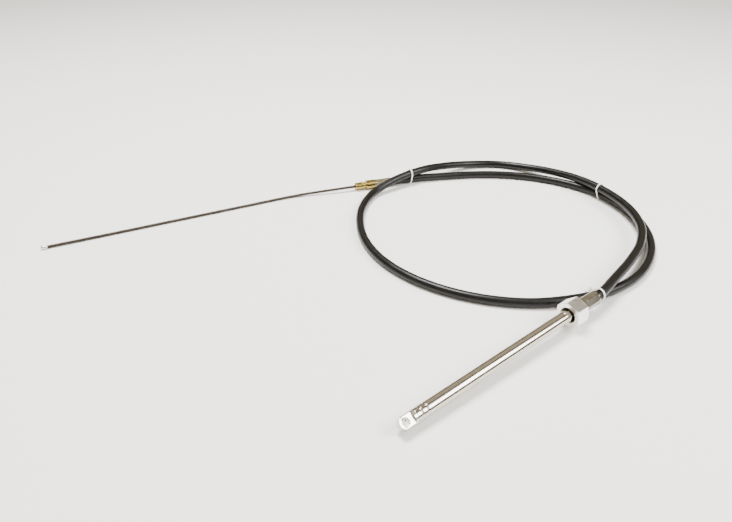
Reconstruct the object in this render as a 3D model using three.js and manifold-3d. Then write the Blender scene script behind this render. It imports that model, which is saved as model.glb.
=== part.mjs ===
// Boat steering cable for a rotary helm: a jacketed conduit that lies in a loose loop, with the
// steering ram on one end and the toothed drive core coming out of the other.
// Millimetres, +Z up. The floor is z = 0, +X runs to the right and +Y away from the viewer.

import * as THREE from "three";
import { mergeVertices } from "three/addons/utils/BufferGeometryUtils.js";
import Module from "manifold-3d";

const wasm = await Module();
wasm.setup();

// Fits
const SEAT_GAP = 0.3;
const ROUND_SIDES = 36;

// Ram: a stainless tube that slides on the support tube, with the eye crimped into its end
const STROKE = 228.6;
const RAM_DIAMETER = 15.9;
const RAM_WALL = 1.65;
const CRIMP_OFFSETS = [6.7, 14.5];
const CRIMP_WIDTH = 3.2;
const CRIMP_DEPTH = 0.8;
const SUPPORT_WALL = 2;
const SUPPORT_OVERLAP = 15.6;
const SUPPORT_END_PLAY = 3.8;
const SUPPORT_SOCKET_DEPTH = 12;

// Rod end: a spigot inside the ram, a round shoulder, then two milled flats with the eye
const SPIGOT_LENGTH = 26;
const SHOULDER_LENGTH = 3.6;
const STEP_TO_EYE = 10.4;
const EYE_TO_TIP = 7.4;
const EYE_BORE = 9.7;
const FLAT_THICKNESS = 9.5;
const FLAT_TURN = THREE.MathUtils.degToRad(-34);

// Swivel nut: it turns on the hub's neck and screws on to the boat's tilt tube
const NUT_ACROSS_FLATS = 31.75;
const NUT_LENGTH = 22;
const NUT_BORE = 20.8;
const NUT_LIP = 5;
const NUT_CHAMFER = 1.6;
const NUT_TURN = THREE.MathUtils.degToRad(11.5);

// Hub: crimped round the conduit's end, with the neck and flange that hold the nut
const NECK_DIAMETER = 17;
const FLANGE_THICKNESS = 2.7;
const HUB_DIAMETER = 19.2;
const HUB_LENGTH = 37;
const HUB_CRIMP_START = 5;
const HUB_CRIMP_LENGTH = 29;
const HUB_CRIMP_TURN = THREE.MathUtils.degToRad(-20);
const HUB_ACROSS_FLATS = 17.4;
const EDGE_BREAK = 0.8;

// Helm end: a turned fitting that seats in the helm, and a ferrule crimped on the conduit
const NIPPLE_DIAMETER = 12.6;
const NIPPLE_LENGTH = 13.5;
const RIM_DIAMETER = 14;
const RIM_LENGTH = 1.8;
const GROOVE_DIAMETER = 10.4;
const GROOVE_LENGTH = 4.6;
const COLLAR_DIAMETER = 16.4;
const COLLAR_LENGTH = 16;
const TAIL_DIAMETER = 9;
const TAIL_LENGTH = 14;
const FERRULE_DIAMETER = 15.5;
const FERRULE_LENGTH = 30;
const FERRULE_CRIMP_START = 4;
const FERRULE_CRIMP_LENGTH = 21;
const FERRULE_ACROSS_FLATS = 14.2;
const CORE_BORE = 6.2;
const CORE_BORE_DEPTH = 10;

// Conduit and drive core
const CONDUIT_DIAMETER = 13.5;
const CONDUIT_SIDES = 10;
const CONDUIT_STEPS = 78;
const CORE_DIAMETER = 4.9;
const CORE_SIDES = 8;
const CORE_STEPS = 42;
const SLEEVE_DIAMETER = 5.9;
const SLEEVE_LENGTH = 9;

// Cable ties round the two turns
const TIE_WIDTH = 2.5;
const TIE_THICKNESS = 1;
const TIE_HEAD = [5.2, 4.2, 4];

// Where the ends lie
const NUT_FACE = new THREE.Vector3(112.032, -123.336, 19.839);
const RAM_HEADING = THREE.MathUtils.degToRad(218.5);
const RAM_DROOP = THREE.MathUtils.degToRad(1.33);
const MOUTH = new THREE.Vector3(-162.2, 275.1, COLLAR_DIAMETER / 2);
const MOUTH_HEADING = THREE.MathUtils.degToRad(18.5);
const CORE_TIP = new THREE.Vector3(-644.2, 67.2, SLEEVE_DIAMETER / 2);
const CORE_HEADING = THREE.MathUtils.degToRad(25.9);

// The conduit's route from the helm end to the ram: the first turn lies on the floor, and the second
// crosses on to it, lies outside it, crosses back and runs into the hub
const CONDUIT_ROUTE = [
  [-42.7, 312.6, 8.35],
  [14.3, 324.1, 6.95],
  [71.8, 330.6, 6.85],
  [129.8, 327.6, 6.85],
  [185.8, 312.6, 6.85],
  [236.3, 284.1, 7.5],
  [276.8, 242.6, 8.2],
  [301.3, 190.1, 7.1],
  [308.8, 132.6, 6.85],
  [299.8, 75.6, 6.85],
  [275.3, 23.1, 6.85],
  [238.3, -21.4, 7],
  [190.3, -54.4, 7.9],
  [135.8, -73.9, 8.8],
  [78.3, -79.4, 7.1],
  [20.8, -71.4, 6.85],
  [-33.2, -50.4, 6.85],
  [-80.7, -16.9, 6.85],
  [-118.2, 27.6, 6.85],
  [-142.2, 80.6, 6.85],
  [-151.7, 137.6, 6.85],
  [-148.2, 195.6, 6.9],
  [-127.7, 249.6, 8.6],
  [-85.7, 286.6, 17.9],
  [-36.7, 317.6, 22.3],
  [11.3, 351.1, 15.8],
  [63.8, 375.1, 8.6],
  [121.3, 378.1, 6.9],
  [173.8, 354.6, 10.2],
  [217.3, 315.1, 17],
  [252.8, 269.6, 21.6],
  [280.3, 218.1, 22.2],
  [295.3, 163.1, 21.4],
  [292.8, 106.6, 20.6],
  [271.8, 52.6, 20.6],
  [238.8, 4.1, 21.4],
  [201.3, -41.4, 22.4],
];

// The drive core's route: straight along the floor, then up into the helm fitting
const CORE_ROUTE = [
  [-557.7, 109.2, 2.55],
  [-477.7, 148.1, 2.55],
  [-397.7, 186.9, 2.55],
  [-337.7, 216, 2.55],
  [-292.2, 238.1, 2.6],
  [-265.7, 248.3, 3.4],
  [-237.7, 255.7, 5],
  [-209.7, 262, 6.7],
  [-183.7, 268.5, 7.8],
];

// Ties: the place along the first turn where each one goes, as a share of the conduit's length
const TIE_PLACES = [0.0175, 0.1835, 0.358];

// Sizes that follow from the ones above
const RAM_BORE = RAM_DIAMETER - 2 * RAM_WALL;
const SUPPORT_DIAMETER = RAM_BORE - 2 * SEAT_GAP;
const FLANGE_DIAMETER = NUT_BORE - 2 * SEAT_GAP;
const LIP_BORE = NECK_DIAMETER + 2 * SEAT_GAP;
const FLANGE_BACK = -(NUT_LENGTH - NUT_LIP) + SEAT_GAP;
const FLANGE_FRONT = FLANGE_BACK + FLANGE_THICKNESS;
const RAM_BACK = FLANGE_FRONT + SEAT_GAP;
const SUPPORT_BACK = FLANGE_FRONT - SUPPORT_SOCKET_DEPTH + SEAT_GAP;
const SUPPORT_FRONT = RAM_BACK + STROKE + SUPPORT_OVERLAP;
const SPIGOT_BACK = SUPPORT_FRONT + SUPPORT_END_PLAY;
const RAM_FRONT = SPIGOT_BACK + SPIGOT_LENGTH;
const SHOULDER_BACK = RAM_FRONT + SEAT_GAP;
const STEP = SHOULDER_BACK + SHOULDER_LENGTH;
const EYE = STEP + STEP_TO_EYE;
const ROD_TIP = EYE + EYE_TO_TIP;
const HUB_FRONT = -NUT_LENGTH - SEAT_GAP;
const HUB_BACK = HUB_FRONT - HUB_LENGTH;
const RIM_START = NIPPLE_LENGTH;
const GROOVE_START = RIM_START + RIM_LENGTH;
const COLLAR_START = GROOVE_START + GROOVE_LENGTH;
const COLLAR_END = COLLAR_START + COLLAR_LENGTH;
const FERRULE_START = COLLAR_END + SEAT_GAP;
const FERRULE_END = FERRULE_START + FERRULE_LENGTH;

const steel = (colour, roughness) =>
  new THREE.MeshStandardMaterial({ color: colour, roughness, metalness: 1 });
const plastic = (colour, roughness) =>
  new THREE.MeshStandardMaterial({ color: colour, roughness, metalness: 0 });
const FINISH = {
  stainless: steel(0xd9d7d2, 0.22),
  bright: steel(0xe6e5e2, 0.12),
  hub: steel(0xb9b7b2, 0.3),
  zinc: steel(0xc9b36a, 0.3),
  ferrule: steel(0xbdb38f, 0.35),
  jacket: plastic(0x1b1a17, 0.45),
  core: steel(0x2b2622, 0.5),
  tie: plastic(0xf2f0ea, 0.5),
};

/** A named mesh in its finish. */
function piece(name, geometry, material) {
  const mesh = new THREE.Mesh(geometry, material);
  mesh.name = name;
  return mesh;
}

/** Turns an outline of [place along X, radius] about the X axis. */
function turned(outline) {
  const points = outline.map(([x, r]) => new THREE.Vector2(r, x));
  const geometry = new THREE.LatheGeometry(points, ROUND_SIDES);
  geometry.rotateZ(-Math.PI / 2);
  return geometry;
}

/** A ring: the outer outline from back to front, closed by the bore's outline from front to back. */
function ring(outer, inner) {
  return turned([...outer, ...inner, outer[0]]);
}

/** A hexagonal bar along X, turned about X from where one of its corners points up. */
function hexBar(acrossFlats, from, to, turn) {
  const radius = acrossFlats / Math.sqrt(3);
  const bar = new THREE.CylinderGeometry(radius, radius, to - from, 6);
  bar.rotateZ(-Math.PI / 2);
  bar.rotateX(turn);
  bar.translate((from + to) / 2, 0, 0);
  return bar;
}

/** A round bar along X. */
function roundBar(radius, from, to) {
  const bar = new THREE.CylinderGeometry(radius, radius, to - from, ROUND_SIDES);
  bar.rotateZ(-Math.PI / 2);
  bar.translate((from + to) / 2, 0, 0);
  return bar;
}

/** The manifold solid of a closed geometry. */
function solid(geometry) {
  const bare = geometry.clone();
  bare.deleteAttribute("normal");
  bare.deleteAttribute("uv");
  const merged = mergeVertices(bare, 1e-4);
  return new wasm.Manifold(
    new wasm.Mesh({
      numProp: 3,
      vertProperties: new Float32Array(merged.attributes.position.array),
      triVerts: new Uint32Array(merged.index.array),
    }),
  );
}

/** The geometry of a manifold solid. */
function geometryOf(body) {
  const mesh = body.getMesh();
  const geometry = new THREE.BufferGeometry();
  geometry.setAttribute("position", new THREE.BufferAttribute(mesh.vertProperties, 3));
  geometry.setIndex(new THREE.BufferAttribute(mesh.triVerts, 1));
  geometry.computeVertexNormals();
  return geometry;
}

/** A turned sleeve with a hexagonal crimp, turned about X, pressed in between two places. */
function crimped(sleeve, radius, acrossFlats, from, to, turn) {
  const press = solid(roundBar(radius + 2, from, to));
  const die = solid(hexBar(acrossFlats, from - 1, to + 1, turn));
  return geometryOf(solid(sleeve).subtract(press.subtract(die)));
}

/** The ram's outline along one wall, with the two roller grooves near its front end. */
function grooved(radius, from, to) {
  const outline = [[from, radius]];
  for (const offset of [...CRIMP_OFFSETS].sort((a, b) => b - a)) {
    const middle = RAM_FRONT - offset;
    const half = CRIMP_WIDTH / 2;
    outline.push([middle - half, radius]);
    outline.push([middle - half / 3, radius - CRIMP_DEPTH]);
    outline.push([middle + half / 3, radius - CRIMP_DEPTH]);
    outline.push([middle + half, radius]);
  }
  outline.push([to, radius]);
  return outline;
}

function ramTube() {
  const outer = grooved(RAM_DIAMETER / 2, RAM_BACK, RAM_FRONT);
  const inner = grooved(RAM_BORE / 2, RAM_BACK, RAM_FRONT).reverse();
  return piece("ram_tube", ring(outer, inner), FINISH.stainless);
}

/** The rod end: its milled flats face up and down before the whole is turned about the ram's axis. */
function rodEnd() {
  const body = solid(
    turned([
      [SPIGOT_BACK, 0],
      ...grooved(SUPPORT_DIAMETER / 2, SPIGOT_BACK, SHOULDER_BACK),
      [SHOULDER_BACK, RAM_DIAMETER / 2],
      [ROD_TIP, RAM_DIAMETER / 2],
      [ROD_TIP, 0],
    ]),
  );
  const half = RAM_DIAMETER / 2;
  const outline = new THREE.Shape();
  outline.moveTo(STEP, -half);
  outline.lineTo(ROD_TIP - half, -half);
  outline.absarc(ROD_TIP - half, 0, half, -Math.PI / 2, Math.PI / 2, false);
  outline.lineTo(STEP, half);
  outline.closePath();
  const flats = new THREE.ExtrudeGeometry(outline, {
    depth: FLAT_THICKNESS,
    bevelEnabled: false,
    curveSegments: ROUND_SIDES / 2,
  });
  flats.translate(0, 0, -FLAT_THICKNESS / 2);
  const shank = solid(roundBar(half + 1, SPIGOT_BACK - 1, STEP));
  const bore = new THREE.CylinderGeometry(EYE_BORE / 2, EYE_BORE / 2, RAM_DIAMETER, ROUND_SIDES);
  bore.rotateX(Math.PI / 2);
  bore.translate(EYE, 0, 0);
  const shaped = body.intersect(shank.add(solid(flats))).subtract(solid(bore));
  const mesh = piece("rod_end", geometryOf(shaped), FINISH.stainless);
  mesh.rotation.x = FLAT_TURN;
  return mesh;
}

function supportTube() {
  const radius = SUPPORT_DIAMETER / 2;
  const bore = radius - SUPPORT_WALL;
  const outer = [[SUPPORT_BACK, radius], [SUPPORT_FRONT, radius]];
  const inner = [[SUPPORT_FRONT, bore], [SUPPORT_BACK, bore]];
  return piece("support_tube", ring(outer, inner), FINISH.stainless);
}

/** The nut: a hexagon whose corners are turned off at both ends, bored from the front, with a lip. */
function swivelNut() {
  const corner = NUT_ACROSS_FLATS / Math.sqrt(3);
  const face = NUT_ACROSS_FLATS / 2 - NUT_CHAMFER / 2;
  const blank = solid(hexBar(NUT_ACROSS_FLATS, -NUT_LENGTH, 0, NUT_TURN));
  const corners = solid(
    turned([
      [-NUT_LENGTH, 0],
      [-NUT_LENGTH, face],
      [-NUT_LENGTH + NUT_CHAMFER, corner],
      [-NUT_CHAMFER, corner],
      [0, face],
      [0, 0],
    ]),
  );
  const bore = solid(
    turned([
      [-NUT_LENGTH - 1, 0],
      [-NUT_LENGTH - 1, LIP_BORE / 2],
      [-NUT_LENGTH + NUT_LIP, LIP_BORE / 2],
      [-NUT_LENGTH + NUT_LIP, NUT_BORE / 2],
      [1, NUT_BORE / 2],
      [1, 0],
    ]),
  );
  const shaped = blank.intersect(corners).subtract(bore);
  return piece("swivel_nut", geometryOf(shaped), FINISH.bright);
}

function hub() {
  const outer = HUB_DIAMETER / 2;
  const socket = SUPPORT_DIAMETER / 2 + SEAT_GAP;
  const floor = SUPPORT_BACK - SEAT_GAP;
  const sleeve = turned([
    [HUB_BACK, 0],
    [HUB_BACK, outer - EDGE_BREAK],
    [HUB_BACK + EDGE_BREAK, outer],
    [HUB_FRONT, outer],
    [HUB_FRONT, NECK_DIAMETER / 2],
    [FLANGE_BACK, NECK_DIAMETER / 2],
    [FLANGE_BACK, FLANGE_DIAMETER / 2],
    [FLANGE_FRONT, FLANGE_DIAMETER / 2],
    [FLANGE_FRONT, socket],
    [floor, socket],
    [floor, 0],
  ]);
  const crimpFront = HUB_FRONT - HUB_CRIMP_START;
  const crimpBack = crimpFront - HUB_CRIMP_LENGTH;
  const shaped = crimped(sleeve, outer, HUB_ACROSS_FLATS, crimpBack, crimpFront, HUB_CRIMP_TURN);
  return piece("hub", shaped, FINISH.hub);
}

function helmFitting() {
  const bore = CORE_BORE / 2;
  const fitting = turned([
    [CORE_BORE_DEPTH, 0],
    [CORE_BORE_DEPTH, bore],
    [0, bore],
    [0, NIPPLE_DIAMETER / 2 - EDGE_BREAK],
    [EDGE_BREAK, NIPPLE_DIAMETER / 2],
    [RIM_START, NIPPLE_DIAMETER / 2],
    [RIM_START, RIM_DIAMETER / 2],
    [GROOVE_START, RIM_DIAMETER / 2],
    [GROOVE_START, GROOVE_DIAMETER / 2],
    [COLLAR_START, GROOVE_DIAMETER / 2],
    [COLLAR_START, COLLAR_DIAMETER / 2 - EDGE_BREAK],
    [COLLAR_START + EDGE_BREAK, COLLAR_DIAMETER / 2],
    [COLLAR_END - EDGE_BREAK, COLLAR_DIAMETER / 2],
    [COLLAR_END, COLLAR_DIAMETER / 2 - EDGE_BREAK],
    [COLLAR_END, TAIL_DIAMETER / 2],
    [COLLAR_END + TAIL_LENGTH, TAIL_DIAMETER / 2],
    [COLLAR_END + TAIL_LENGTH, 0],
  ]);
  return piece("helm_fitting", fitting, FINISH.zinc);
}

function helmFerrule() {
  const outer = FERRULE_DIAMETER / 2;
  const socket = TAIL_DIAMETER / 2 + SEAT_GAP;
  const socketEnd = COLLAR_END + TAIL_LENGTH + SEAT_GAP;
  const sleeve = turned([
    [socketEnd, 0],
    [socketEnd, socket],
    [FERRULE_START, socket],
    [FERRULE_START, outer - EDGE_BREAK],
    [FERRULE_START + EDGE_BREAK, outer],
    [FERRULE_END - EDGE_BREAK, outer],
    [FERRULE_END, outer - EDGE_BREAK],
    [FERRULE_END, 0],
  ]);
  const from = FERRULE_START + FERRULE_CRIMP_START;
  const shaped = crimped(sleeve, outer, FERRULE_ACROSS_FLATS, from, from + FERRULE_CRIMP_LENGTH, 0);
  return piece("helm_ferrule", shaped, FINISH.ferrule);
}

/** A unit vector on a heading, tilted down by droop. */
function heading(angle, droop = 0) {
  return new THREE.Vector3(
    Math.cos(droop) * Math.cos(angle),
    Math.cos(droop) * Math.sin(angle),
    -Math.sin(droop),
  );
}

/** A tube of flat-sided section along a curve. */
function cord(curve, diameter, sides, steps) {
  const section = new THREE.Shape();
  for (let i = 0; i < sides; i += 1) {
    const angle = (2 * Math.PI * i) / sides;
    const x = (diameter / 2) * Math.cos(angle);
    const y = (diameter / 2) * Math.sin(angle);
    if (i === 0) section.moveTo(x, y);
    else section.lineTo(x, y);
  }
  section.closePath();
  return new THREE.ExtrudeGeometry(section, { steps, bevelEnabled: false, extrudePath: curve });
}

/** A smooth curve that leaves its start and reaches its end straight, for the length of lead. */
function routed(start, startWay, points, end, endWay, lead) {
  const places = points.map((p) => new THREE.Vector3(...p));
  const first = [start, start.clone().addScaledVector(startWay, lead)];
  const last = [end.clone().addScaledVector(endWay, -lead), end];
  return new THREE.CatmullRomCurve3([...first, ...places, ...last], false, "centripetal");
}

const ramWay = heading(RAM_HEADING, RAM_DROOP);
const mouthWay = heading(MOUTH_HEADING);
const coreWay = heading(CORE_HEADING);
const conduitStart = MOUTH.clone().addScaledVector(mouthWay, FERRULE_END + SEAT_GAP);
const conduitEnd = NUT_FACE.clone().addScaledVector(ramWay, HUB_BACK - SEAT_GAP);
const conduitCurve = routed(
  conduitStart,
  mouthWay,
  CONDUIT_ROUTE,
  conduitEnd,
  ramWay,
  CONDUIT_DIAMETER,
);
const conduitPlaces = conduitCurve.getSpacedPoints(CONDUIT_STEPS);
const coreStart = CORE_TIP.clone().addScaledVector(coreWay, SLEEVE_LENGTH + SEAT_GAP);
const coreEnd = MOUTH.clone().addScaledVector(mouthWay, CORE_BORE_DEPTH - SEAT_GAP);
const coreCurve = routed(
  coreStart,
  coreWay,
  CORE_ROUTE,
  coreEnd,
  mouthWay,
  CORE_BORE_DEPTH + CORE_DIAMETER,
);

function conduit() {
  const tube = cord(conduitCurve, CONDUIT_DIAMETER, CONDUIT_SIDES, CONDUIT_STEPS);
  return piece("conduit", tube, FINISH.jacket);
}

function driveCore() {
  const tube = cord(coreCurve, CORE_DIAMETER, CORE_SIDES, CORE_STEPS);
  return piece("drive_core", tube, FINISH.core);
}

/** The swaged sleeve on the drive core's free end. It lies on the floor beside the core's tip. */
function coreSleeve() {
  const radius = SLEEVE_DIAMETER / 2;
  const sleeve = turned([
    [0, 0],
    [0, radius - EDGE_BREAK],
    [EDGE_BREAK, radius],
    [SLEEVE_LENGTH, radius],
    [SLEEVE_LENGTH, 0],
  ]);
  const mesh = piece("core_end_sleeve", sleeve, FINISH.bright);
  mesh.position.copy(CORE_TIP);
  mesh.rotation.z = CORE_HEADING;
  return mesh;
}

/** A place on the middle of the conduit's straight steps, and the way that the step runs. */
function onConduit(share) {
  const along = share * CONDUIT_STEPS;
  const step = Math.min(Math.floor(along), CONDUIT_STEPS - 1);
  const [from, to] = [conduitPlaces[step], conduitPlaces[step + 1]];
  return { place: from.clone().lerp(to, along - step), way: to.clone().sub(from).normalize() };
}

/** The place on the conduit's second turn that lies nearest to a place on its first. */
function nearestOnSecondTurn(place) {
  let best = null;
  for (let share = 0.5; share <= 1; share += 0.0002) {
    const other = onConduit(share);
    const distance = other.place.distanceTo(place);
    if (!best || distance < best.distance) best = { ...other, distance };
  }
  return best;
}

/** An outline of two half circles joined by straight sides, round two centres on the X axis. */
function stadium(target, reach, radius) {
  target.absarc(reach, 0, radius, -Math.PI / 2, Math.PI / 2, false);
  target.absarc(-reach, 0, radius, Math.PI / 2, (3 * Math.PI) / 2, false);
  target.closePath();
  return target;
}

/**
 * A moulded tie: a band round both turns, with its ratchet head on the band's straight side. The band
 * is as much wider than the turns as they need to run through it at an angle. The head is on the side
 * that faces away from the viewer.
 */
function cableTie(name, share) {
  const { place: lower, way } = onConduit(share);
  const { place: upper, way: upperWay, distance } = nearestOnSecondTurn(lower);
  const along = way.clone().add(upperWay).normalize();
  const across = upper.clone().sub(lower);
  across.addScaledVector(along, -across.dot(along)).normalize();
  const skew = way.angleTo(upperWay) / 2;
  const turnReach = CONDUIT_DIAMETER / 2 / Math.cos(skew) + (TIE_WIDTH / 2) * Math.tan(skew);
  const radius = turnReach + SEAT_GAP;
  const outline = stadium(new THREE.Shape(), distance / 2, radius + TIE_THICKNESS);
  outline.holes.push(stadium(new THREE.Path(), distance / 2, radius));
  const band = new THREE.ExtrudeGeometry(outline, {
    depth: TIE_WIDTH,
    bevelEnabled: false,
    curveSegments: 10,
  });
  band.translate(0, 0, -TIE_WIDTH / 2);
  const [headLength, headHeight, headWidth] = TIE_HEAD;
  const head = new THREE.BoxGeometry(headLength, headHeight, headWidth);
  head.translate(0, radius + headHeight / 2, 0);
  const mesh = piece(name, geometryOf(solid(band).add(solid(head))), FINISH.tie);
  const side = new THREE.Vector3().crossVectors(along, across);
  if (side.y < 0) {
    side.negate();
    along.negate();
  }
  mesh.quaternion.setFromRotationMatrix(new THREE.Matrix4().makeBasis(across, side, along));
  mesh.position.copy(lower).add(upper).multiplyScalar(0.5);
  return mesh;
}

/** The rigid engine end, built along X from the nut's face and then laid in its place. */
function engineEnd() {
  const end = new THREE.Group();
  end.add(ramTube(), rodEnd(), supportTube(), swivelNut(), hub());
  end.position.copy(NUT_FACE);
  end.rotation.set(0, RAM_DROOP, RAM_HEADING, "ZYX");
  return end;
}

/** The rigid helm end, built along X from its mouth and then laid in its place. */
function helmEnd() {
  const end = new THREE.Group();
  end.add(helmFitting(), helmFerrule());
  end.position.copy(MOUTH);
  end.rotation.z = MOUTH_HEADING;
  return end;
}

const cable = new THREE.Group();
cable.add(engineEnd(), helmEnd(), conduit(), driveCore(), coreSleeve());
TIE_PLACES.forEach((share, i) => cable.add(cableTie(`cable_tie_${i + 1}`, share)));

export default cable;
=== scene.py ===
"""Dresses a boat steering cable: its hose, drive core, ram end, helm end and cable ties.

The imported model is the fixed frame. Every piece stands for one of its nodes and rides on its body.
All values are in metres. A piece is built along the X axis and then laid where the model has it.
"""

import logging
import math
from abc import ABC, abstractmethod
from collections.abc import Callable, Sequence
from dataclasses import dataclass
from enum import Enum
from itertools import pairwise

import bpy
from mathutils import Euler, Matrix, Vector


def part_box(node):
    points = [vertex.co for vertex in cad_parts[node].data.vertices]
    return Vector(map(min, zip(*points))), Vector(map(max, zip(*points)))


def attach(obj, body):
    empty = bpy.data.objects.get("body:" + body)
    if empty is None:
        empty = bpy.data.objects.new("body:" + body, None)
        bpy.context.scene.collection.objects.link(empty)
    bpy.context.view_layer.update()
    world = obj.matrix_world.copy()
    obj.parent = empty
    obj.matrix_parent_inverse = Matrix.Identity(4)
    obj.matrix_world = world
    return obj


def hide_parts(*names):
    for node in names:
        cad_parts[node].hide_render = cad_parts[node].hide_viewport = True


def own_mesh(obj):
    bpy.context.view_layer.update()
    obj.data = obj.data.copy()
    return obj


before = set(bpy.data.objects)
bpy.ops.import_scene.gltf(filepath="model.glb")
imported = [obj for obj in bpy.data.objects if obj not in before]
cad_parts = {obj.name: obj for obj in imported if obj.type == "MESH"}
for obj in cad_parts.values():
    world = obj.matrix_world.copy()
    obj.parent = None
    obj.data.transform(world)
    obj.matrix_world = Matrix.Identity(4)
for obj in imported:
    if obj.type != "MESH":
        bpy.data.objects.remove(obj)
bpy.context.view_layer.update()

MM = 0.001
SIDES = 96
WELD = 0.002 * MM
# A face whose normal lies this nearly along X is an end of a bar
SQUARE_ON = 0.99
Outline = Sequence[tuple[float, float]]
Piece = bpy.types.Object
log = logging.getLogger("steering_cable")


# Where things lie


@dataclass(frozen=True)
class Placement:
    """Where a piece that was built along X is laid.

    Args:
        origin: The place of the piece's own zero.
        heading: The turn about Z, in degrees.
        droop: How far the X axis is tipped down, in degrees.
        roll: The turn about the piece's own X axis, in degrees.
    """

    origin: tuple[float, float, float]
    heading: float
    droop: float = 0.0
    roll: float = 0.0

    def turn(self) -> Euler:
        """Gives the three turns in the order roll, droop, heading."""
        return Euler([math.radians(angle) for angle in (self.roll, self.droop, self.heading)])

    def matrix(self) -> Matrix:
        """Gives the matrix that lays the piece."""
        return Matrix.Translation(self.origin) @ self.turn().to_matrix().to_4x4()

    def at(self, along: float) -> Vector:
        """Gives the place at a distance along the laid X axis."""
        return self.matrix() @ Vector((along, 0, 0))


ENGINE_END = Placement((0.112032, -0.123336, 0.019839), heading=218.5, droop=1.33)
ROD_END = Placement(ENGINE_END.origin, heading=218.5, droop=1.33, roll=-34)
HELM_END = Placement((-0.1622, 0.2751, 0.0082), heading=18.5)
CORE_END = Placement((-0.6442, 0.0672, 0.00295), heading=25.9)


# Work at the bench


class Cut(Enum):
    """What a cutting tool does to a piece."""

    KEEP_INSIDE = "INTERSECT"
    TAKE_AWAY = "DIFFERENCE"


class Part(Enum):
    """Which parts of a mesh are picked."""

    VERTEX = "VERT"
    FACE = "FACE"


def clear_bench() -> None:
    """Leaves edit mode and deselects every object."""
    if bpy.context.object and bpy.context.object.mode != "OBJECT":
        bpy.ops.object.mode_set(mode="OBJECT")
    bpy.ops.object.select_all(action="DESELECT")


def settle() -> None:
    """Puts the active object's place, turn and size into its mesh."""
    bpy.ops.object.transform_apply(location=True, rotation=True, scale=True)


def take_up(piece: Piece) -> None:
    """Makes a piece the only selected and active one."""
    clear_bench()
    piece.select_set(True)
    bpy.context.view_layer.objects.active = piece


def pick(piece: Piece, part: Part, wanted: Callable[..., bool]) -> None:
    """Enters edit mode with only the wanted vertices or faces selected.

    Args:
        piece: The piece.
        part: Whether vertices or faces are picked.
        wanted: Says of a vertex or face whether it is wanted.
    """
    take_up(piece)
    bpy.ops.object.mode_set(mode="EDIT")
    bpy.ops.mesh.select_mode(type=part.value)
    bpy.ops.mesh.select_all(action="DESELECT")
    bpy.ops.object.mode_set(mode="OBJECT")
    for item in piece.data.vertices if part is Part.VERTEX else piece.data.polygons:
        item.select = wanted(item)
    bpy.ops.object.mode_set(mode="EDIT")


def turned(name: str, outline: Outline, sides: int = SIDES) -> Piece:
    """Turns an outline about the X axis, as on a lathe.

    Args:
        name: The piece's name.
        outline: Points of (place along X, radius). It is closed, unless it starts on the axis.
        sides: How many steps the turn takes.

    Returns:
        The closed solid, at the world's origin.
    """
    clear_bench()
    bpy.ops.mesh.primitive_plane_add(size=MM)
    piece = bpy.context.object
    piece.name = name
    pick(piece, Part.VERTEX, lambda v: True)
    bpy.ops.mesh.merge(type="CENTER")
    start = outline[0]
    bpy.ops.transform.translate(value=(start[0], 0, start[1]))
    closed = outline if start[1] == 0 else [*outline, start]
    for (x, radius), (next_x, next_radius) in pairwise(closed):
        step = (next_x - x, 0, next_radius - radius)
        bpy.ops.mesh.extrude_vertices_move(TRANSFORM_OT_translate={"value": step})
    bpy.ops.mesh.select_all(action="SELECT")
    bpy.ops.mesh.remove_doubles(threshold=WELD)
    bpy.ops.mesh.spin(steps=sides, angle=math.tau, center=(0, 0, 0), axis=(1, 0, 0))
    bpy.ops.mesh.select_all(action="SELECT")
    bpy.ops.mesh.remove_doubles(threshold=WELD)
    bpy.ops.mesh.normals_make_consistent(inside=False)
    bpy.ops.object.mode_set(mode="OBJECT")
    return piece


def hexagon_bar(name: str, across_flats: float, start: float, end: float, roll: float = 0) -> Piece:
    """Adds a hexagonal bar along X.

    Args:
        name: The bar's name.
        across_flats: The distance between two opposite flats.
        start: Where the bar starts along X.
        end: Where it ends.
        roll: The turn about X, in degrees, from where one corner points up.

    Returns:
        The bar, with its place in its mesh.
    """
    clear_bench()
    bpy.ops.mesh.primitive_cylinder_add(
        vertices=6,
        radius=across_flats / math.sqrt(3),
        depth=end - start,
        location=((start + end) / 2, 0, 0),
        rotation=(math.pi / 2, 0, math.pi / 2),
    )
    bar = bpy.context.object
    bar.name = name
    settle()
    bar.rotation_euler.x = math.radians(roll)
    settle()
    return bar


def grow_ends(bar: Piece, rise: float, growth: float, reach: float) -> None:
    """Flares both ends of a bar along X and carries them on straight.

    Args:
        bar: The bar, whose end faces look along X.
        rise: The length of each flare.
        growth: How many times wider the bar is past its flares.
        reach: How far the bar goes on past each flare.
    """
    for side in (1, -1):
        pick(bar, Part.FACE, lambda face, side=side: face.normal.x * side > SQUARE_ON)
        bpy.ops.mesh.extrude_region_move(TRANSFORM_OT_translate={"value": (side * rise, 0, 0)})
        bpy.ops.transform.resize(value=(1, growth, growth), center_override=(0, 0, 0))
        bpy.ops.mesh.extrude_region_move(TRANSFORM_OT_translate={"value": (side * reach, 0, 0)})
        bpy.ops.object.mode_set(mode="OBJECT")


def finished(piece: Piece, kind: str, **settings: object) -> None:
    """Adds a modifier to a piece and applies it.

    Args:
        piece: The piece.
        kind: The modifier's type.
        settings: What is set on the modifier.
    """
    take_up(piece)
    modifier = piece.modifiers.new(kind.lower(), kind)
    for key, value in settings.items():
        setattr(modifier, key, value)
    bpy.ops.object.modifier_apply(modifier=modifier.name)


def cut(piece: Piece, tool: Piece, how: Cut) -> None:
    """Cuts a piece with a closed tool, which is used up.

    Args:
        piece: What is cut.
        tool: What cuts it.
        how: Whether the tool keeps or takes away what lies inside it.
    """
    finished(piece, "BOOLEAN", operation=how.value, solver="EXACT", object=tool)
    bpy.data.objects.remove(tool)


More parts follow.
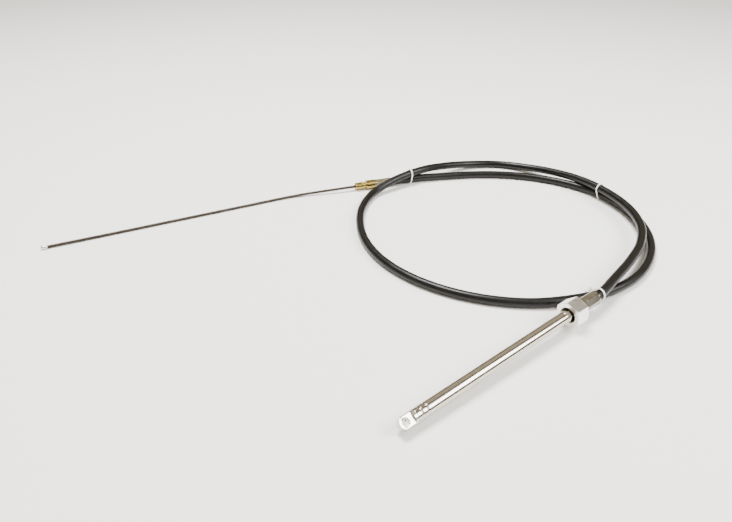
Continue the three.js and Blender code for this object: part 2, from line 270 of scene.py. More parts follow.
def edges_broken(piece: Piece, width: float, angle: float = 28) -> None:
    """Rounds the sharp edges of a piece.

    Args:
        piece: The piece.
        width: How wide each rounded edge is.
        angle: The least bend, in degrees, that counts as an edge.
    """
    finished(
        piece,
        "BEVEL",
        width=width,
        segments=2,
        limit_method="ANGLE",
        angle_limit=math.radians(angle),
        use_clamp_overlap=True,
    )


def lay(piece: Piece, placement: Placement) -> None:
    """Lays a piece in its place and puts that place into its mesh."""
    take_up(piece)
    piece.matrix_world = placement.matrix()
    settle()


# Finishes


def linear(colour: str) -> tuple[float, float, float, float]:
    """Turns an sRGB hex colour into linear values with full alpha."""
    parts = [int(colour[i : i + 2], 16) / 255 for i in (1, 3, 5)]
    low_end = 0.04045
    values = [v / 12.92 if v <= low_end else ((v + 0.055) / 1.055) ** 2.4 for v in parts]
    return (*values, 1.0)


def add_node(
    tree: bpy.types.NodeTree,
    kind: str,
    settings: dict[str, object] | None = None,
    inputs: dict[str | int, object] | None = None,
) -> bpy.types.Node:
    """Adds a node with its settings and what goes into it.

    Args:
        tree: The node tree.
        kind: The node's type.
        settings: The node's own properties.
        inputs: For each input's name or number, a value, or the output that is linked to it.

    Returns:
        The node.
    """
    node = tree.nodes.new(kind)
    for key, value in (settings or {}).items():
        setattr(node, key, value)
    for key, value in (inputs or {}).items():
        if isinstance(value, bpy.types.NodeSocket):
            tree.links.new(value, node.inputs[key])
        else:
            node.inputs[key].default_value = value
    return node


@dataclass(frozen=True)
class Finish(ABC):
    """What a surface is made of and how it was made."""

    name: str

    def material(self) -> bpy.types.Material:
        """Gives the finish's material, which is made once."""
        made = bpy.data.materials.get(self.name)
        if made:
            return made
        made = bpy.data.materials.new(self.name)
        made.use_nodes = True
        made.node_tree.nodes.clear()
        shader = self.shader(made.node_tree)
        add_node(made.node_tree, "ShaderNodeOutputMaterial", inputs={"Surface": shader.outputs[0]})
        return made

    @abstractmethod
    def shader(self, tree: bpy.types.NodeTree) -> bpy.types.Node:
        """Builds the finish's nodes and gives its shader."""


@dataclass(frozen=True)
class TurnedMetal(Finish):
    """A metal that was turned or ground about its axis.

    The tool leaves fine rings round the axis, and plating and handling leave soft cloudy patches.

    Args:
        placement: Where the piece lies, so that its rings run round its own axis.
        colours: The darker and the lighter colour of the cloudy patches.
        roughness: The lowest and the highest roughness.
        ring_spacing: The distance between rings. Real ones are about a third of it, too fine to show.
        ring_height: How high the rings stand.
        cloud_size: How large the cloudy patches are.
        ring_wander: How fast a ring changes across the axis, per metre, slow enough to run round it.
    """

    placement: Placement
    colours: tuple[str, str]
    roughness: tuple[float, float]
    ring_spacing: float = 0.35 * MM
    ring_height: float = 0.004 * MM
    cloud_size: float = 9 * MM
    ring_wander: float = 30

    def shader(self, tree: bpy.types.NodeTree) -> bpy.types.Node:
        """Builds the finish's nodes and gives its shader."""
        own = add_node(tree, "ShaderNodeTexCoord").outputs["Object"]
        place = {"Vector": own, "Location": self.placement.origin, "Rotation": self.placement.turn()}
        along = add_node(tree, "ShaderNodeMapping", {"vector_type": "TEXTURE"}, place)
        scale = (1 / self.ring_spacing, self.ring_wander, self.ring_wander)
        stretched = {"Vector": along.outputs[0], "Scale": scale}
        ring_place = add_node(tree, "ShaderNodeMapping", {"vector_type": "POINT"}, stretched)
        rings = add_node(
            tree,
            "ShaderNodeTexNoise",
            inputs={"Vector": ring_place.outputs[0], "Scale": 1.0, "Detail": 3.0},
        )
        clouds = add_node(
            tree,
            "ShaderNodeTexNoise",
            inputs={"Vector": along.outputs[0], "Scale": 1 / self.cloud_size, "Detail": 5.0},
        )
        colour = add_node(
            tree,
            "ShaderNodeMix",
            {"data_type": "RGBA"},
            {0: clouds.outputs["Fac"], 6: linear(self.colours[0]), 7: linear(self.colours[1])},
        )
        mixed = add_node(
            tree,
            "ShaderNodeMath",
            {"operation": "MULTIPLY"},
            {0: rings.outputs["Fac"], 1: clouds.outputs["Fac"]},
        )
        roughness = add_node(
            tree,
            "ShaderNodeMapRange",
            inputs={
                "Value": mixed.outputs[0],
                "From Min": 0.1,
                "From Max": 0.45,
                "To Min": self.roughness[0],
                "To Max": self.roughness[1],
            },
        )
        bump = add_node(
            tree,
            "ShaderNodeBump",
            inputs={"Strength": 0.5, "Distance": self.ring_height, "Height": rings.outputs["Fac"]},
        )
        return add_node(
            tree,
            "ShaderNodeBsdfPrincipled",
            inputs={
                "Base Color": colour.outputs[2],
                "Metallic": 1.0,
                "Roughness": roughness.outputs[0],
                "Normal": bump.outputs[0],
            },
        )


@dataclass(frozen=True)
class ExtrudedJacket(Finish):
    """Black polyethylene that was extruded over wound casing wires.

    The die leaves faint lines along the hose, the wires under the jacket show as a slow twist, and
    handling leaves dull patches. It reads as a narrow grey sheen on a near black.

    Args:
        colours: The darker and the lighter black.
        roughness: The lowest and the highest roughness.
        die_line: The distance between die lines round the hose, drawn as coarse as they need to show.
        wire_lay: The length in which a casing wire goes once round.
        relief: How high the lines and wires stand.
        shine: The specular level, under the usual 0.5 because the skin is waxy and dusty.
    """

    colours: tuple[str, str] = ("#060504", "#0e0d0a")
    roughness: tuple[float, float] = (0.26, 0.42)
    die_line: float = 0.9 * MM
    wire_lay: float = 62 * MM
    relief: float = 0.015 * MM
    shine: float = 0.28

    def shader(self, tree: bpy.types.NodeTree) -> bpy.types.Node:
        """Builds the finish's nodes and gives its shader."""
        along = add_node(tree, "ShaderNodeTexCoord").outputs["UV"]
        line_scale = {"Vector": along, "Scale": (8, 1 / self.die_line, 1)}
        line_place = add_node(tree, "ShaderNodeMapping", {"vector_type": "POINT"}, line_scale)
        lines = add_node(
            tree,
            "ShaderNodeTexNoise",
            inputs={"Vector": line_place.outputs[0], "Scale": 1.0, "Detail": 4.0},
        )
        scuffs = add_node(
            tree,
            "ShaderNodeTexNoise",
            inputs={"Vector": along, "Scale": 1 / (11 * MM), "Detail": 8.0, "Roughness": 0.62},
        )
        lay_scale = {"Vector": along, "Scale": (1 / self.wire_lay, 1 / (6 * MM), 1)}
        lay_place = add_node(tree, "ShaderNodeMapping", {"vector_type": "POINT"}, lay_scale)
        wires = add_node(
            tree,
            "ShaderNodeTexWave",
            {"bands_direction": "DIAGONAL"},
            {"Vector": lay_place.outputs[0], "Scale": 1.0, "Distortion": 0.4},
        )
        relief = add_node(
            tree,
            "ShaderNodeMath",
            {"operation": "MULTIPLY_ADD"},
            {0: wires.outputs["Fac"], 1: 0.25, 2: lines.outputs["Fac"]},
        )
        bump = add_node(
            tree,
            "ShaderNodeBump",
            inputs={"Strength": 0.3, "Distance": self.relief, "Height": relief.outputs[0]},
        )
        colour = add_node(
            tree,
            "ShaderNodeMix",
            {"data_type": "RGBA"},
            {0: scuffs.outputs["Fac"], 6: linear(self.colours[0]), 7: linear(self.colours[1])},
        )
        roughness = add_node(
            tree,
            "ShaderNodeMapRange",
            inputs={
                "Value": scuffs.outputs["Fac"],
                "From Min": 0.3,
                "From Max": 0.7,
                "To Min": self.roughness[0],
                "To Max": self.roughness[1],
            },
        )
        return add_node(
            tree,
            "ShaderNodeBsdfPrincipled",
            inputs={
                "Base Color": colour.outputs[2],
                "Roughness": roughness.outputs[0],
                "IOR": 1.5,
                "Specular IOR Level": self.shine,
                "Normal": bump.outputs[0],
            },
        )


@dataclass(frozen=True)
class GreasedWire(Finish):
    """Wound spring wire under old grease.

    The crests are rubbed bright and the valleys hold brown grease, so it reads as a dark brown rod
    with small glints.

    Args:
        grease: The colour of the grease in the valleys.
        steel: The colour of the rubbed crests.
    """

    grease: str = "#17120e"
    steel: str = "#5d5347"

    def shader(self, tree: bpy.types.NodeTree) -> bpy.types.Node:
        """Builds the finish's nodes and gives its shader."""
        crest = add_node(tree, "ShaderNodeAttribute", {"attribute_name": "crest"}).outputs["Fac"]
        own = add_node(tree, "ShaderNodeTexCoord").outputs["Object"]
        smears = add_node(
            tree, "ShaderNodeTexNoise", inputs={"Vector": own, "Scale": 1 / (7 * MM), "Detail": 4.0}
        )
        rubbed = add_node(
            tree,
            "ShaderNodeMath",
            {"operation": "MULTIPLY", "use_clamp": True},
            {0: crest, 1: smears.outputs["Fac"]},
        )
        colour = add_node(
            tree,
            "ShaderNodeMix",
            {"data_type": "RGBA"},
            {0: rubbed.outputs[0], 6: linear(self.grease), 7: linear(self.steel)},
        )
        roughness = add_node(
            tree,
            "ShaderNodeMapRange",
            inputs={"Value": rubbed.outputs[0], "To Min": 0.5, "To Max": 0.26},
        )
        return add_node(
            tree,
            "ShaderNodeBsdfPrincipled",
            inputs={
                "Base Color": colour.outputs[2],
                "Metallic": 0.75,
                "Roughness": roughness.outputs[0],
            },
        )


@dataclass(frozen=True)
class MouldedNylon(Finish):
    """Natural nylon, moulded in a fine sparked tool, so it is milky with a faint grain.

    Args:
        colours: The darker and the lighter white.
        grain: The size of the grain.
        roughness: The roughness of the moulded skin.
    """

    colours: tuple[str, str] = ("#e9e6df", "#fbfaf6")
    grain: float = 0.4 * MM
    roughness: float = 0.42

    def shader(self, tree: bpy.types.NodeTree) -> bpy.types.Node:
        """Builds the finish's nodes and gives its shader."""
        own = add_node(tree, "ShaderNodeTexCoord").outputs["Object"]
        grain = add_node(
            tree, "ShaderNodeTexNoise", inputs={"Vector": own, "Scale": 1 / self.grain, "Detail": 2.0}
        )
        cloud = add_node(
            tree, "ShaderNodeTexNoise", inputs={"Vector": own, "Scale": 1 / (5 * MM), "Detail": 2.0}
        )
        colour = add_node(
            tree,
            "ShaderNodeMix",
            {"data_type": "RGBA"},
            {0: cloud.outputs["Fac"], 6: linear(self.colours[0]), 7: linear(self.colours[1])},
        )
        bump = add_node(
            tree,
            "ShaderNodeBump",
            inputs={"Strength": 0.2, "Distance": 0.02 * MM, "Height": grain.outputs["Fac"]},
        )
        return add_node(
            tree,
            "ShaderNodeBsdfPrincipled",
            inputs={
                "Base Color": colour.outputs[2],
                "Roughness": self.roughness,
                "IOR": 1.53,
                "Normal": bump.outputs[0],
            },
        )


@dataclass(frozen=True)
class StudioPaper(Finish):
    """Plain pale paper for the floor."""

    colour: str = "#fdfcfa"
    roughness: float = 0.6

    def shader(self, tree: bpy.types.NodeTree) -> bpy.types.Node:
        """Builds the finish's nodes and gives its shader."""
        settings = {"Base Color": linear(self.colour), "Roughness": self.roughness}
        return add_node(tree, "ShaderNodeBsdfPrincipled", inputs=settings)


GROUND_STAINLESS = TurnedMetal("ground_stainless", ENGINE_END, ("#b5b0a4", "#d6d1c6"), (0.07, 0.16))
MILLED_STAINLESS = TurnedMetal(
    "milled_stainless", ROD_END, ("#c9c5ba", "#e6e2d9"), (0.16, 0.28), ring_spacing=0.5 * MM
)
PRESSED_STAINLESS = TurnedMetal(
    "pressed_stainless", ENGINE_END, ("#8d887c", "#b9b4a8"), (0.14, 0.28), ring_height=0.01 * MM
)
BRIGHT_NICKEL = TurnedMetal("bright_nickel", ENGINE_END, ("#efece6", "#fdfcf9"), (0.16, 0.3))
YELLOW_ZINC = TurnedMetal(
    "yellow_passivated_zinc", HELM_END, ("#a8773f", "#b9b56a"), (0.1, 0.24), cloud_size=6 * MM
)
CLEAR_ZINC = TurnedMetal(
    "clear_passivated_zinc", HELM_END, ("#857c62", "#b5ae8e"), (0.14, 0.3), ring_height=0.01 * MM
)
SWAGED_STEEL = TurnedMetal("swaged_bright_steel", CORE_END, ("#c9c6be", "#eeece7"), (0.12, 0.26))
BLACK_JACKET = ExtrudedJacket("extruded_black_jacket")
CORE_WIRE = GreasedWire("greased_core_wire")
NYLON = MouldedNylon("moulded_natural_nylon")
PAPER = StudioPaper("pale_studio_paper")


def dress(piece: Piece, finish: Finish, body: str, node: str) -> Piece:
    """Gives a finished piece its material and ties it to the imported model.

    Args:
        piece: The piece, already in its place.
        finish: What it is made of.
        body: The body that it moves with.
        node: The CAD node that it stands for.

    Returns:
        The piece.
    """
    piece.data.materials.clear()
    piece.data.materials.append(finish.material())
    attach(piece, body)
    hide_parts(node)
    log.info("%s: %d faces, %s, on %s", piece.name, len(piece.data.polygons), finish.name, body)
    return piece


def smoothed(piece: Piece, angle: float = 30) -> None:
    """Shades a piece smooth wherever it bends by less than the angle, and keeps its flats flat.

    Args:
        piece: The piece.
        angle: The least bend, in degrees, that stays sharp.
    """
    take_up(piece)
    bpy.ops.object.shade_smooth_by_angle(angle=math.radians(angle))
    finished(piece, "WEIGHTED_NORMAL", keep_sharp=True)


class SubAssembly(ABC):
    """A group of pieces that are made together."""

    @abstractmethod
    def build(self) -> list[Piece]:
        """Builds and dresses the pieces."""


# Lines that cords follow


def smooth_line(points: Sequence[Vector], spacing: float) -> list[Vector]:
    """Draws a centripetal Catmull-Rom curve and places points evenly along it.

    Args:
        points: What the curve passes through.
        spacing: About how far apart the even points are.

    Returns:
        The even points, from the first given point to the last.
    """
    before = points[0] * 2 - points[1]
    after = points[-1] * 2 - points[-2]
    guides = [before, *points, after]
    dense: list[Vector] = [points[0].copy()]
    steps = 40
    for a, b, c, d in zip(guides, guides[1:], guides[2:], guides[3:]):
        gaps = [(q - p).length ** 0.5 for p, q in ((a, b), (b, c), (c, d))]
        leave = (b - a) / gaps[0] - (c - a) / (gaps[0] + gaps[1]) + (c - b) / gaps[1]
        arrive = (c - b) / gaps[1] - (d - b) / (gaps[1] + gaps[2]) + (d - c) / gaps[2]
        leave, arrive = leave * gaps[1], arrive * gaps[1]
        for step in range(1, steps + 1):
            t = step / steps
            cubic = 2 * b - 2 * c + leave + arrive
            square = 3 * c - 3 * b - 2 * leave - arrive
            dense.append(b + leave * t + square * t**2 + cubic * t**3)
    return evenly(dense, spacing)


def evenly(dense: Sequence[Vector], spacing: float) -> list[Vector]:
    """Places points evenly along a dense line.

    Args:
        dense: The line's own points.
        spacing: About how far apart the even points are.

    Returns:
        The even points, with the line's first and last.
    """
    length = sum((q - p).length for p, q in pairwise(dense))
    count = max(2, round(length / spacing))
    even = [dense[0].copy()]
    walked = 0.0
    for p, q in pairwise(dense):
        stretch = (q - p).length
        while len(even) < count and walked + stretch >= length * len(even) / count:
            share = (length * len(even) / count - walked) / stretch
            even.append(p.lerp(q, share))
        walked += stretch
    even.append(dense[-1].copy())
    return even


@dataclass(frozen=True)
class CordSurface:
    """The skin of a cord along a line.

    Args:
        line: Even points along the cord's middle.
        diameter: The cord's outer diameter.
        sides: How many points go round it.
        pitch: The length of one turn of a wound wire, or zero for a plain skin.
        depth: How deep the valleys between the wound turns are.
    """

    line: Sequence[Vector]
    diameter: float
    sides: int
    pitch: float = 0.0
    depth: float = 0.0

    def crest(self, distance: float, angle: float) -> float:
        """Gives how high the wound wire stands at a place on the skin, from 0 to 1."""
        if not self.pitch:
            return 1.0
        phase = (distance / self.pitch - angle / math.tau) % 1.0
        return math.sqrt(max(0.0, math.sin(math.pi * phase)))

    def piece(self, name: str) -> Piece:
        """Makes the closed skin, with a UV map in metres and the height of each point as crest.

        Args:
            name: The piece's name.

        Returns:
            The piece.
        """
        places: list[Vector] = []
        crests: list[float] = []
        distance = 0.0
        travelled: list[float] = []
        for i, place in enumerate(self.line):
            distance += (place - self.line[i - 1]).length if i else 0.0
            travelled.append(distance)
            ahead = self.line[min(i + 1, len(self.line) - 1)] - self.line[max(i - 1, 0)]
            side = ahead.cross(Vector((0, 0, 1))).normalized()
            up = side.cross(ahead).normalized()
            for j in range(self.sides):
                angle = math.tau * j / self.sides
                height = self.crest(distance, angle)
                radius = self.diameter / 2 - self.depth * (1 - height)
                places.append(place + (side * math.cos(angle) + up * math.sin(angle)) * radius)
                crests.append(height)
        faces: list[list[int]] = []
        for i in range(len(self.line) - 1):
            for j in range(self.sides):
                k = (j + 1) % self.sides
                row, ahead_row = i * self.sides, (i + 1) * self.sides
                faces.append([row + j, ahead_row + j, ahead_row + k, row + k])
        last = (len(self.line) - 1) * self.sides
        faces.append(list(range(self.sides)))
        faces.append([last + j for j in reversed(range(self.sides))])
        mesh = bpy.data.meshes.new(name)
        mesh.from_pydata(places, [], faces)
        mesh.attributes.new("crest", "FLOAT", "POINT").data.foreach_set("value", crests)
        self.unwrap(mesh, travelled)
        piece = bpy.data.objects.new(name, mesh)
        bpy.context.collection.objects.link(piece)
        return piece

    def unwrap(self, mesh: bpy.types.Mesh, travelled: Sequence[float]) -> None:
        """Lays the skin's faces out flat: U runs along the cord and V round it.

        Args:
            mesh: The skin's mesh.
            travelled: How far along the cord each ring is.
        """
        layer = mesh.uv_layers.new(name="along_cord")
        girth = math.pi * self.diameter
        for face in mesh.polygons:
            seam = len(face.vertices) == 4 and face.vertices[0] % self.sides == self.sides - 1
            for corner, loop in zip(face.vertices, face.loop_indices):
                ring, spoke = divmod(corner, self.sides)
                turn = self.sides if seam and spoke == 0 else spoke
                layer.data[loop].uv = (travelled[ring], girth * turn / self.sides)


# The hose's route from the helm end to the ram, in millimetres: the first turn lies on the floor,
# and the second crosses on to it, lies outside it, crosses back and runs into the hub
HOSE_ROUTE = (
    (-42.7, 312.6, 8.35),
    (14.3, 324.1, 6.95),
    (71.8, 330.6, 6.85),
    (129.8, 327.6, 6.85),
    (185.8, 312.6, 6.85),
    (236.3, 284.1, 7.5),
    (276.8, 242.6, 8.2),
    (301.3, 190.1, 7.1),
    (308.8, 132.6, 6.85),
    (299.8, 75.6, 6.85),
    (275.3, 23.1, 6.85),
    (238.3, -21.4, 7),
    (190.3, -54.4, 7.9),
    (135.8, -73.9, 8.8),
    (78.3, -79.4, 7.1),
    (20.8, -71.4, 6.85),
    (-33.2, -50.4, 6.85),
    (-80.7, -16.9, 6.85),
    (-118.2, 27.6, 6.85),
    (-142.2, 80.6, 6.85),
    (-151.7, 137.6, 6.85),
    (-148.2, 195.6, 6.9),
    (-127.7, 249.6, 8.6),
    (-85.7, 286.6, 17.9),
    (-36.7, 317.6, 22.3),
    (11.3, 351.1, 15.8),
    (63.8, 375.1, 8.6),
    (121.3, 378.1, 6.9),
    (173.8, 354.6, 10.2),
    (217.3, 315.1, 17),
    (252.8, 269.6, 21.6),
    (280.3, 218.1, 22.2),
    (295.3, 163.1, 21.4),
    (292.8, 106.6, 20.6),
    (271.8, 52.6, 20.6),
    (238.8, 4.1, 21.4),
    (201.3, -41.4, 22.4),
)

# The drive core's route from its free end to the helm fitting, in millimetres
CORE_ROUTE = (
    (-557.7, 109.2, 2.55),
    (-477.7, 148.1, 2.55),
    (-397.7, 186.9, 2.55),
    (-337.7, 216, 2.55),
    (-292.2, 238.1, 2.6),
    (-265.7, 248.3, 3.4),
    (-237.7, 255.7, 5),
    (-209.7, 262, 6.7),
    (-183.7, 268.5, 7.8),
)


@dataclass(frozen=True)
class Hose(SubAssembly):
    """The jacketed conduit between the ferrule and the hub.

    Args:
        name: The piece's name.
        diameter: The jacket's outer diameter.
        length: The real length of the hose with its two ends inside the fittings. It is not used.
        start: Where it leaves the helm ferrule, from the helm end's mouth.
        end: Where it enters the hub, from the nut's face.
        entry: How far it goes on inside each fitting.
        lead: How far it runs straight at each end.
        spacing: How far apart the points along it are.
    """

    name: str = "conduit_hose"
    diameter: float = 13.5 * MM
    length: float = 2.2206
    start: float = 66.5 * MM
    end: float = -59.6 * MM
    entry: float = 3.3 * MM
    lead: float = 13.5 * MM
    spacing: float = 4 * MM

    def line(self) -> list[Vector]:
        """Gives even points along the hose's middle."""
        ends = [HELM_END.at(self.start), HELM_END.at(self.start + self.lead)]
        ends += [ENGINE_END.at(self.end - self.lead), ENGINE_END.at(self.end)]
        route = [Vector(point) * MM for point in HOSE_ROUTE]
        free = smooth_line([*ends[:2], *route, *ends[2:]], self.spacing)
        first = HELM_END.at(self.start - self.entry)
        last = ENGINE_END.at(self.end + self.entry)
        return [first, *free, last]

    def build(self) -> list[Piece]:
        """Builds the hose."""
        piece = CordSurface(self.line(), self.diameter, sides=36).piece(self.name)
        smoothed(piece)
        dress(piece, BLACK_JACKET, "cable", "conduit")
        return [piece]

    def declare(self, ties: Sequence[Piece]) -> None:
        """Works out the hose's line, and does nothing more with it or with the ties."""
        line = self.line()


@dataclass(frozen=True)
class CoreWire(SubAssembly):
    """The wound drive core outside the helm fitting, with the sleeve on its free end.

    Args:
        diameter: The outer diameter of the winding.
        pitch: The length of one turn of the winding, which the helm's gear runs in.
        valley: How deep the winding's valleys are.
        length: The real length from inside the fitting's bore to inside the sleeve. It is not used.
        bore_end: Where the core ends inside the fitting, from its mouth.
        lead: How far it runs straight in front of that.
        sleeve_length: The length of the sleeve on the free end.
        sleeve_diameter: The sleeve's outer diameter.
        entry: How far the core goes into the sleeve.
        ring_places: Where the middles of the sleeve's two pressed rings are.
        ring_halves: Half the width of a ring at its top and at its floor.
        ring_depth: How deep a ring is.
        stroke: How far the free end is drawn in when the ram is fully out. It is not used.
    """

    diameter: float = 4.9 * MM
    pitch: float = 3.175 * MM
    valley: float = 0.55 * MM
    length: float = 0.5305
    bore_end: float = 9.7 * MM
    lead: float = 14.9 * MM
    sleeve_length: float = 9 * MM
    sleeve_diameter: float = 5.9 * MM
    entry: float = 3.3 * MM
    ring_places: tuple[float, float] = (3.6 * MM, 5.8 * MM)
    ring_halves: tuple[float, float] = (0.6 * MM, 0.3 * MM)
    ring_depth: float = 0.22 * MM
    stroke: float = 228.6 * MM

    def line(self) -> list[Vector]:
        """Gives even points along the core's middle, from the fitting to the sleeve."""
        tip = self.sleeve_length + 0.3 * MM
        ends = [CORE_END.at(tip), CORE_END.at(tip + self.lead)]
        ends += [HELM_END.at(self.bore_end - self.lead), HELM_END.at(self.bore_end)]
        route = [Vector(point) * MM for point in CORE_ROUTE]
        free = smooth_line([*ends[:2], *route, *ends[2:]], self.pitch / 10)
        inside = [CORE_END.at(tip - self.entry * share) for share in (1, 0.5)]
        return list(reversed([*inside, *free]))

    def sleeve(self) -> Piece:
        """Makes the swaged sleeve, with two pressed rings and a round nose."""
        radius = self.sleeve_diameter / 2
        bore = self.diameter / 2 + 0.1 * MM
        end = self.sleeve_length
        outline = [(0, 0), (0, radius - 1.1 * MM), (0.35 * MM, radius - 0.4 * MM), (1.1 * MM, radius)]
        top, floor = self.ring_halves
        pressed = radius - self.ring_depth
        for middle in self.ring_places:
            outline += [(middle - top, radius), (middle - floor, pressed)]
            outline += [(middle + floor, pressed), (middle + top, radius)]
        outline += [(end - 0.3 * MM, radius), (end, radius - 0.25 * MM), (end, bore)]
        outline += [(end - self.entry, bore), (end - self.entry, 0)]
        piece = turned("core_sleeve", outline, sides=48)
        smoothed(piece)
        lay(piece, CORE_END)
        return dress(piece, SWAGED_STEEL, "core_end", "core_end_sleeve")

    def build(self) -> list[Piece]:
        """Builds the core and its sleeve, and gives the core a mesh of its own."""
        line = self.line()
        skin = CordSurface(line, self.diameter, 20, self.pitch, self.valley)
        piece = skin.piece("drive_core_wire")
        smoothed(piece, angle=60)
        dress(piece, CORE_WIRE, "cable", "drive_core")
        sleeve = self.sleeve()
        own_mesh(piece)
        return [piece, sleeve]


@dataclass(frozen=True)
class RamEnd(SubAssembly):
    """The ram, the rod end crimped into it, and the support tube that it slides on.

    Places are measured from the nut's face, toward the rod end. The tools that shape the rod end are
    longer and wider than it, so that they pass right through.
    """

    ram_radius: float = 7.95 * MM
    ram_bore: float = 6.3 * MM
    ram_back: float = -13.7 * MM
    ram_front: float = 260.3 * MM
    groove_offsets: tuple[float, float] = (6.7 * MM, 14.5 * MM)
    groove_width: float = 3.2 * MM
    groove_depth: float = 0.8 * MM
    support_radius: float = 6 * MM
    support_wall: float = 2 * MM
    support_back: float = -25.7 * MM
    support_front: float = 230.5 * MM
    spigot_back: float = 234.3 * MM
    shoulder_back: float = 260.6 * MM
    step: float = 264.2 * MM
    eye: float = 274.6 * MM
    tip: float = 282 * MM
    eye_radius: float = 4.85 * MM
    flat_half: float = 4.75 * MM
    mill_corner: float = 0.9 * MM
    tool_width: float = 24 * MM
    tool_height: float = 8 * MM
    tool_overrun: float = 4 * MM
    former_reach: float = 80 * MM
    former_growth: float = 1.01

    def grooved(self, radius: float, start: float, end: float) -> list[tuple[float, float]]:
        """Draws a wall with the two rolled grooves.

        Args:
            radius: The wall's radius.
            start: Where the wall starts.
            end: Where it ends.

        Returns:
            The outline's points, from start to end.
        """
        outline = [(start, radius)]
        half = self.groove_width / 2
        for offset in sorted(self.groove_offsets, reverse=True):
            middle = self.ram_front - offset
            for i in range(-6, 7):
                share = i / 6
                dip = self.groove_depth * (1 + math.cos(math.pi * share)) / 2
                outline.append((middle + half * share, radius - dip))
        outline.append((end, radius))
        return outline

    def ram(self) -> Piece:
        """Makes the ram, with its front edge rolled on to the rod end."""
        outer = self.grooved(self.ram_radius, self.ram_back, self.ram_front)
        inner = self.grooved(self.ram_bore, self.ram_back, self.ram_front)
        piece = turned("ram", [*outer, *reversed(inner)])
        edges_broken(piece, 0.3 * MM, angle=60)
        smoothed(piece, angle=40)
        lay(piece, ENGINE_END)
        return dress(piece, GROUND_STAINLESS, "ram", "ram_tube")

    def support(self) -> Piece:
        """Makes the support tube, whose ends are chamfered inside and out."""
        radius, bore = self.support_radius, self.support_radius - self.support_wall
        back, front = self.support_back, self.support_front
        outline = [(back, bore), (back, radius), (front, radius), (front, bore)]
        piece = turned("ram_support", outline)
        edges_broken(piece, 0.4 * MM)
        smoothed(piece)
        lay(piece, ENGINE_END)
        return dress(piece, GROUND_STAINLESS, "cable", "support_tube")

    def flat_cutter(self, side: int) -> Piece:
        """Makes the block that mills one flat, with the cutter's corner radius.

        Args:
            side: 1 for the upper flat and -1 for the lower one.

        Returns:
            The block.
        """
        clear_bench()
        length, height = self.tip - self.step + self.tool_overrun, self.tool_height
        bpy.ops.mesh.primitive_cube_add(
            size=1,
            location=(self.step + length / 2, 0, side * (self.flat_half + height / 2)),
            scale=(length, self.tool_width, height),
        )
        block = bpy.context.object
        settle()
        corner = Vector((self.step, 0, side * self.flat_half))
        pick(block, Part.VERTEX, lambda v: (v.co - corner).length - abs(v.co.y) < WELD)
        bpy.ops.mesh.bevel(offset=self.mill_corner, segments=4, affect="EDGES")
        bpy.ops.object.mode_set(mode="OBJECT")
        return block

    def tip_former(self) -> Piece:
        """Makes the long round-nosed block that the blade's tip is shaped by."""
        clear_bench()
        middle = self.tip - self.ram_radius
        bpy.ops.mesh.primitive_cylinder_add(
            vertices=SIDES, radius=self.ram_radius, depth=self.tool_width, location=(middle, 0, 0)
        )
        former = bpy.context.object
        settle()
        pick(former, Part.VERTEX, lambda v: v.co.x < middle - WELD)
        bpy.ops.transform.translate(value=(-self.former_reach, 0, 0))
        bpy.ops.mesh.select_all(action="SELECT")
        bpy.ops.transform.resize(value=(1, self.former_growth, 1), center_override=(0, 0, 0))
        bpy.ops.object.mode_set(mode="OBJECT")
        return former

    def rod_end(self) -> Piece:
        """Makes the rod end: turned, milled flat on two sides, and bored."""
        spigot = self.grooved(self.support_radius, self.spigot_back, self.shoulder_back)
        full = [(self.shoulder_back, self.ram_radius), (self.tip, self.ram_radius), (self.tip, 0)]
        piece = turned("rod_end_eye", [(self.spigot_back, 0), *spigot, *full])
        cut(piece, self.flat_cutter(1), Cut.TAKE_AWAY)
        cut(piece, self.flat_cutter(-1), Cut.TAKE_AWAY)
        cut(piece, self.tip_former(), Cut.KEEP_INSIDE)
        clear_bench()
        bpy.ops.mesh.primitive_cylinder_add(
            vertices=64, radius=self.eye_radius, depth=self.tool_width, location=(self.eye, 0, 0)
        )
        drill = bpy.context.object
        settle()
        cut(piece, drill, Cut.TAKE_AWAY)
        edges_broken(piece, 0.3 * MM, angle=50)
        smoothed(piece)
        lay(piece, ROD_END)
        return dress(piece, MILLED_STAINLESS, "ram", "rod_end")

    def build(self) -> list[Piece]:
        """Builds the ram end."""
        return [self.ram(), self.support(), self.rod_end()]


